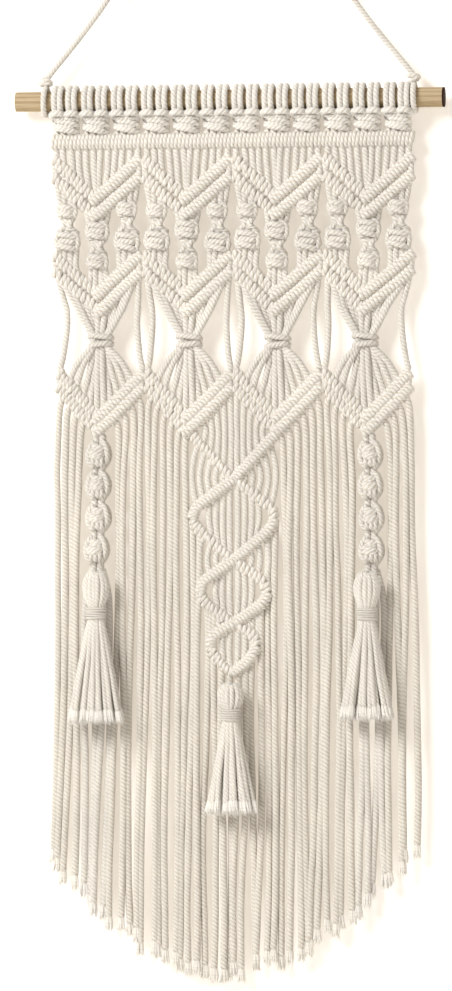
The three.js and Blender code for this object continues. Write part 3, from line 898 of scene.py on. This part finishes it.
def fringe(name, first, last):
    """Legs that leave the last zigzag square to its row and turn down."""
    most_lean, turn_down = 5.2, 15
    cords = Cords()
    for leg in range(first, last + 1):
        x = leg_x(leg)
        offset = repeat_offset(x)
        lean = -math.copysign(min(most_lean, abs(offset)), offset)
        level = row_level(ZIGZAGS[2]["lower"], offset + lean)
        start = (x + lean, 0, at(level + 1))
        fringe_leg(cords, x, row_level(ZIGZAGS[2]["lower"], offset) + turn_down, start=start)
    cords.piece("rope_" + name, FRINGE_COTTON, "panel", name)


# The two rows of the braid cross at the middle and turn round at each side: x and level, the first row's
BRAID_ROUTE = (
    *((-36.75, 267.5), (-18, 287.5), (0, 306.5)),
    *((19, 320.5), (30, 329.5), (33.2, 338), (29, 346.5), (17, 357.5), (0, 371.5)),
    *((-14, 381.5), (-24, 389.5), (-27.2, 398), (-24, 405), (-14, 413), (0, 422.6)),
    *((12, 429.5), (17.4, 435.5), (18.4, 441), (15.5, 448), (9, 455.5), (0, 463)),
)
# Where each length of a row starts and ends in the route, at a crossing or at a side
BRAID_TURNS = (0, 2, 5, 8, 11, 14, 17, 20)
# Each crossing's level, then the reach and level of the widest point above it and below it
CROSSINGS = ((306.5, 36.75, 267.5, 33.2, 338), (371.5, 33.2, 338, 27.2, 398), (422.6, 27.2, 398, 18.4, 441))
# Each space between the rows: its top, widest and bottom level, its reach to each side, and its legs.
# The first one lies under the zigzag and has no widest level
SPANS = (
    (267.5, 0, 306.5, 36.75, 10),
    (306.5, 338, 371.5, 33.2, 8),
    (371.5, 398, 422.6, 27.2, 6),
    (422.6, 441, 463, 18.4, 4),
)
# Where the middle fringe leaves the braid: from how far out, and that widest point's reach and level
BRAID_SIDES = ((26, 33.2, 338), (15, 27.2, 398), (0, 18.4, 441))


def legs_beside_crossings(cords):
    """Outside each crossing, legs hang in arcs from the arm above to the arm below."""
    for level, reach_above, widest_above, reach_below, widest_below in CROSSINGS:
        for side in (-1, 1):
            reach = min(reach_above, reach_below)
            count = max(3, int(reach / LEG_PITCH))
            for i in range(count):
                x = reach * (0.22 + 0.66 * i / max(1, count - 1))
                high = level - (level - widest_above) * x / reach_above
                low = level + (widest_below - level) * x / reach_below
                bow = side * (2.0 + 0.8 * i)
                leg_between(cords, side * x, high + 2, low - 2, side * (x - 0.5), bow=bow, y=0.8, radius=2.6)


def legs_between_rows(cords):
    """Legs down the middle, under the last zigzag and then inside each diamond of the braid."""
    for number, (high_level, widest, low_level, reach, legs) in enumerate(SPANS):
        under_zigzag = number == 0
        for i in range(legs):
            x = (i - (legs - 1) / 2) * LEG_PITCH * (1.0 if under_zigzag else 0.92)
            share = abs(x) / reach
            if under_zigzag:
                top = row_level(ZIGZAGS[2]["lower"], repeat_offset(x))
                foot = low_level - (low_level - high_level) * share
                bow = -math.copysign(0.6 + 3.2 * share, x)
            else:
                top = high_level + (widest - high_level) * share
                foot = low_level - (low_level - widest) * share
                bow = math.copysign(0.5 + 1.6 * share, x)
            leg_between(cords, x * 0.98, top, foot, x * 0.92, bow=bow, y=0.6, radius=2.6)


def center_braid():
    """Two rows that cross and turn back, with the one that falls to the left in front."""
    cords = Cords()
    for mirror in (1, -1):
        for first, last in zip(BRAID_TURNS, BRAID_TURNS[1:]):
            part = BRAID_ROUTE[first : last + 1]
            falls_left = mirror * (part[-1][0] - part[0][0]) < 0
            depth = -2.0 if falls_left else 0.8
            route = [
                (mirror * x, level, depth * math.sin(math.pi * min(1, 0.15 + 0.85 * i / (len(part) - 1))))
                for i, (x, level) in enumerate(part)
            ]
            hitch_row(cords, route, thickness=2.0, **(FRONT_ROW if falls_left else BACK_ROW))
    legs_beside_crossings(cords)
    legs_between_rows(cords)
    cords.piece("rope_center_braid", HITCH_COTTON, "panel", "center_braid")


def center_fringe():
    """Legs that leave the braid's arms, each from the widest arm that it can reach."""
    cords = Cords()
    for leg in range(18, 30):
        x = leg_x(leg)
        reach, widest = next(side[1:] for side in BRAID_SIDES if abs(x) > side[0])
        fringe_leg(cords, x, widest + (reach - abs(x)) * 0.8, y=1.0)
    cords.piece("rope_fringe_center", FRINGE_COTTON, "panel", "fringe_center")


# A berry knot's outer cord, down one side
BERRY_ARC = (
    (2.2, -1.5, 11.5),
    (5.6, -4.4, 8.2),
    (7.6, -5.2, 2.5),
    (7.4, -4.8, -3.5),
    (4.6, -4.2, -8.4),
    (2.2, -1.5, -11),
)


def berry(cords, x, drop):
    """One berry knot: square knots rolled up into a ball, with small loops on its front."""
    for shift, half, depth in ((-5.2, 8.2, 5.8), (0.2, 9.3, 7.6), (5.0, 7.8, 6.0)):
        lean = jitter(0.8)
        for route in square_knot(x + jitter(0.5), drop + shift, half + jitter(0.3), 8.6, depth=depth):
            route = [(px, py, pz + lean * (px - x) / 8) for px, py, pz in route]
            cords.rope(route, ref=(0.02, 1, 0.02), radius=2.55, turn=any_turn())
    behind = [(px, -py, pz) for px, py, pz in BERRY_ARC]
    for side in (-1, 1):
        cords.rope(placed(x, drop, BERRY_ARC, side), radius=2.4, turn=any_turn())
        cords.rope(placed(x, drop, behind, side), radius=2.5)
    for shift in (-3.4, 0.4, 3.6):
        loop = [
            (shift, -6.0, -1.5),
            (shift + 0.5, -8.6, -3.8),
            (shift + 0.4, -7.6, -7.2),
            (shift * 0.8, -3.5, -9.0),
        ]
        cords.rope(placed(x, drop, loop), radius=1.7)


def bobble_sennit(side):
    """Four berry knots and the legs that run on behind the tassel, two cores and four fringe legs."""
    name = "bobble_sennit_" + ("left" if side < 0 else "right")
    x = side * 1.5 * REPEAT_WIDTH
    cords = Cords()
    top = ZIGZAGS[2]["lower"][1] + 2
    for drop in BOBBLES:
        berry(cords, x + jitter(0.8), drop)
    for lean in (-1, 1):
        for layer in (-1.8, 2.2):
            cords.rope([(x + lean * 2.5, layer, at(level)) for level in (top, 325, 384)])
    first = 4 if side < 0 else 40
    for leg in range(first, first + 4):
        hidden = leg_x(leg)
        start = (x + (hidden - x) * 0.4, 1.0, at(BOBBLES[-1] + 14))
        fringe_leg(cords, hidden, BOBBLES[-1] + 40, y=1.4, start=start)
    cords.piece("rope_" + name, CORD_COTTON, "panel", name)


# Tassels


# A tassel's strands in three layers: how many, and how wide they stand as a share of the outer ones
TASSEL_LAYERS = ((15, 1.0), (12, 0.72), (5, 0.4))
BAND_TURNS = 5


def tassel(name):
    """Strands folded over at the head, drawn in at the neck and spread to the hem."""
    low, high = box_mm(name)
    wrap_low, wrap_high = box_mm(name + "_wrap")
    # The panel drifts to the right of its CAD place, and the tassel with it
    x, y = (low[0] + high[0]) / 2 + drift(AXIS_Z - high[2]), (low[1] + high[1]) / 2
    half, deep = (high[0] - low[0]) / 2, (high[1] - low[1]) / 2
    neck_z, top_z, hem_z = (wrap_low[2] + wrap_high[2]) / 2, high[2], low[2]
    head = top_z - neck_z

    def spot(radius, angle, z):
        """A point of a strand. The tassel is flatter than it is wide, to stay clear of the fringe."""
        return x + radius * math.cos(angle), y - 0.6 + min(radius * 0.66, deep - 3.8) * math.sin(angle), z

    cords = Cords()
    for layer, (count, share) in enumerate(TASSEL_LAYERS):
        for i in range(count):
            angle = 2 * math.pi * (i + rng.uniform(-0.2, 0.2) + 0.5 * layer) / count
            end = share * rng.uniform(0.9, 1.0)
            fray = FRAY * rng.uniform(0.75, 1.0)
            hem = hem_z + fray * 0.92
            fall = neck_z - hem
            profile = (
                (1.4, top_z - 3.0),
                (5.2 * share, top_z - 3.6),
                (8.9 * share + jitter(0.4), top_z - head * 0.32),
                (8.2 * share + jitter(0.4), top_z - head * 0.58),
                (4.4 * share, neck_z + 3.6),
                (4.2 * share, neck_z),
                (4.8 * share, neck_z - 4),
                (half * 0.40 * end, neck_z - fall * 0.3),
                (half * 0.64 * end + jitter(0.8), neck_z - fall * 0.65),
                ((half - 2.8) * end + jitter(0.8), hem),
            )
            route = [spot(radius, angle, z) for radius, z in profile]
            neck_at = head / (head + fall)
            slim = ((0, neck_at - 0.12, neck_at, neck_at + 0.1, 1), (1, 1, 0.72, 0.95, 1))
            cords.rope(route, radius=2.25, taper=slim, turn=any_turn(), ref=(0.1, 1, 0.03))
            cords.fray(route[-1], np.subtract(route[-1], route[-2]), spread=1.8, length=fray)
    cords.piece("rope_" + name, TASSEL_COTTON, name, name, draw_in=False)
    band = Cords()
    pitch = (wrap_high[2] - wrap_low[2]) / BAND_TURNS
    for i in range(BAND_TURNS):
        middle = (x, y, wrap_low[2] + pitch * (i + 0.5))
        slant = jitter(0.35)
        band.wrap(middle, (0, 0, 1), 7.4, 6.4, pitch / 2, 1.25, slant, across=(1, 0, 0), twist=THIN_TWIST)
    piece = band.piece("rope_" + name + "_wrap", CORD_COTTON, name, name + "_wrap", draw_in=False)


for pair in range(PAIRS):
    cord_pair(pair)
hitch_bar()
for repeat in range(REPEATS):
    zigzags(repeat)
    cross_knot(repeat)
    for place in range(SENNITS):
        sennit(repeat, place)
for name, first, last in (
    ("fringe_left_edge", 0, 3),
    ("fringe_left", 8, 17),
    ("fringe_right", 30, 39),
    ("fringe_right_edge", 44, 47),
):
    fringe(name, first, last)
center_braid()
center_fringe()
bobble_sennit(-1)
bobble_sennit(1)
for name in ("tassel_left", "tassel_center", "tassel_right"):
    tassel(name)

wood = dowel_wood()
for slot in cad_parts["dowel"].material_slots:
    slot.material = wood

# Stage: a pale wall just behind the hanging, open to views from behind, and a pale floor below it


# Name, place from the panel's middle, size and power of each lamp, in metres and watts
LAMPS = (
    ("key", (-1.7, -2.5, 1.8), 1.5, 107),
    ("fill", (2.6, -3.2, 0.4), 2.5, 17),
    ("back", (-1.2, 2.6, 1.2), 1.6, 24),
)
LAMP_COLOUR = (1.0, 0.995, 0.985)
SKY_COLOUR, SKY_STRENGTH = (1.0, 0.87, 0.72, 1), 0.27
WALL_GAP, FLOOR_GAP = 0.001, 0.25  # from the back and from the foot of the object, in metres
PANEL_MIDDLE = 330.0  # level that the lamps point at


def plane(name, corners, material):
    mesh = bpy.data.meshes.new(name)
    mesh.from_pydata(corners, [], [(0, 1, 2, 3)])
    mesh.materials.append(material)
    obj = bpy.data.objects.new(name, mesh)
    bpy.context.collection.objects.link(obj)
    obj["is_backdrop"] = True


def studio():
    low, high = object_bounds()
    back, floor_z = high[1] + WALL_GAP, low[2] - FLOOR_GAP
    wall = stage_material("wall_paint", (0.96, 0.955, 0.945), see_through_back=True, glow=0.32)
    plane("wall", [(-3, back, floor_z), (3, back, floor_z), (3, back, 2.0), (-3, back, 2.0)], wall)
    floor = stage_material("floor_paint", (0.86, 0.85, 0.83))
    plane("floor", [(-3, -6, floor_z), (3, -6, floor_z), (3, 3, floor_z), (-3, 3, floor_z)], floor)
    world = bpy.data.worlds.new("studio")
    world.use_nodes = True
    sky = world.node_tree.nodes["Background"]
    sky.inputs["Color"].default_value = SKY_COLOUR
    sky.inputs["Strength"].default_value = SKY_STRENGTH
    bpy.context.scene.world = world
    middle = Vector((0, 0, at(PANEL_MIDDLE) / MM))
    for name, place, size, power in LAMPS:
        data = bpy.data.lights.new(name, "AREA")
        data.size, data.energy, data.color = size, power, LAMP_COLOUR
        lamp = bpy.data.objects.new(name, data)
        lamp.location = middle + Vector(place)
        lamp.rotation_euler = (-Vector(place)).to_track_quat("-Z", "Y").to_euler()
        bpy.context.collection.objects.link(lamp)
    bpy.context.scene.view_settings.view_transform = "Standard"


studio()
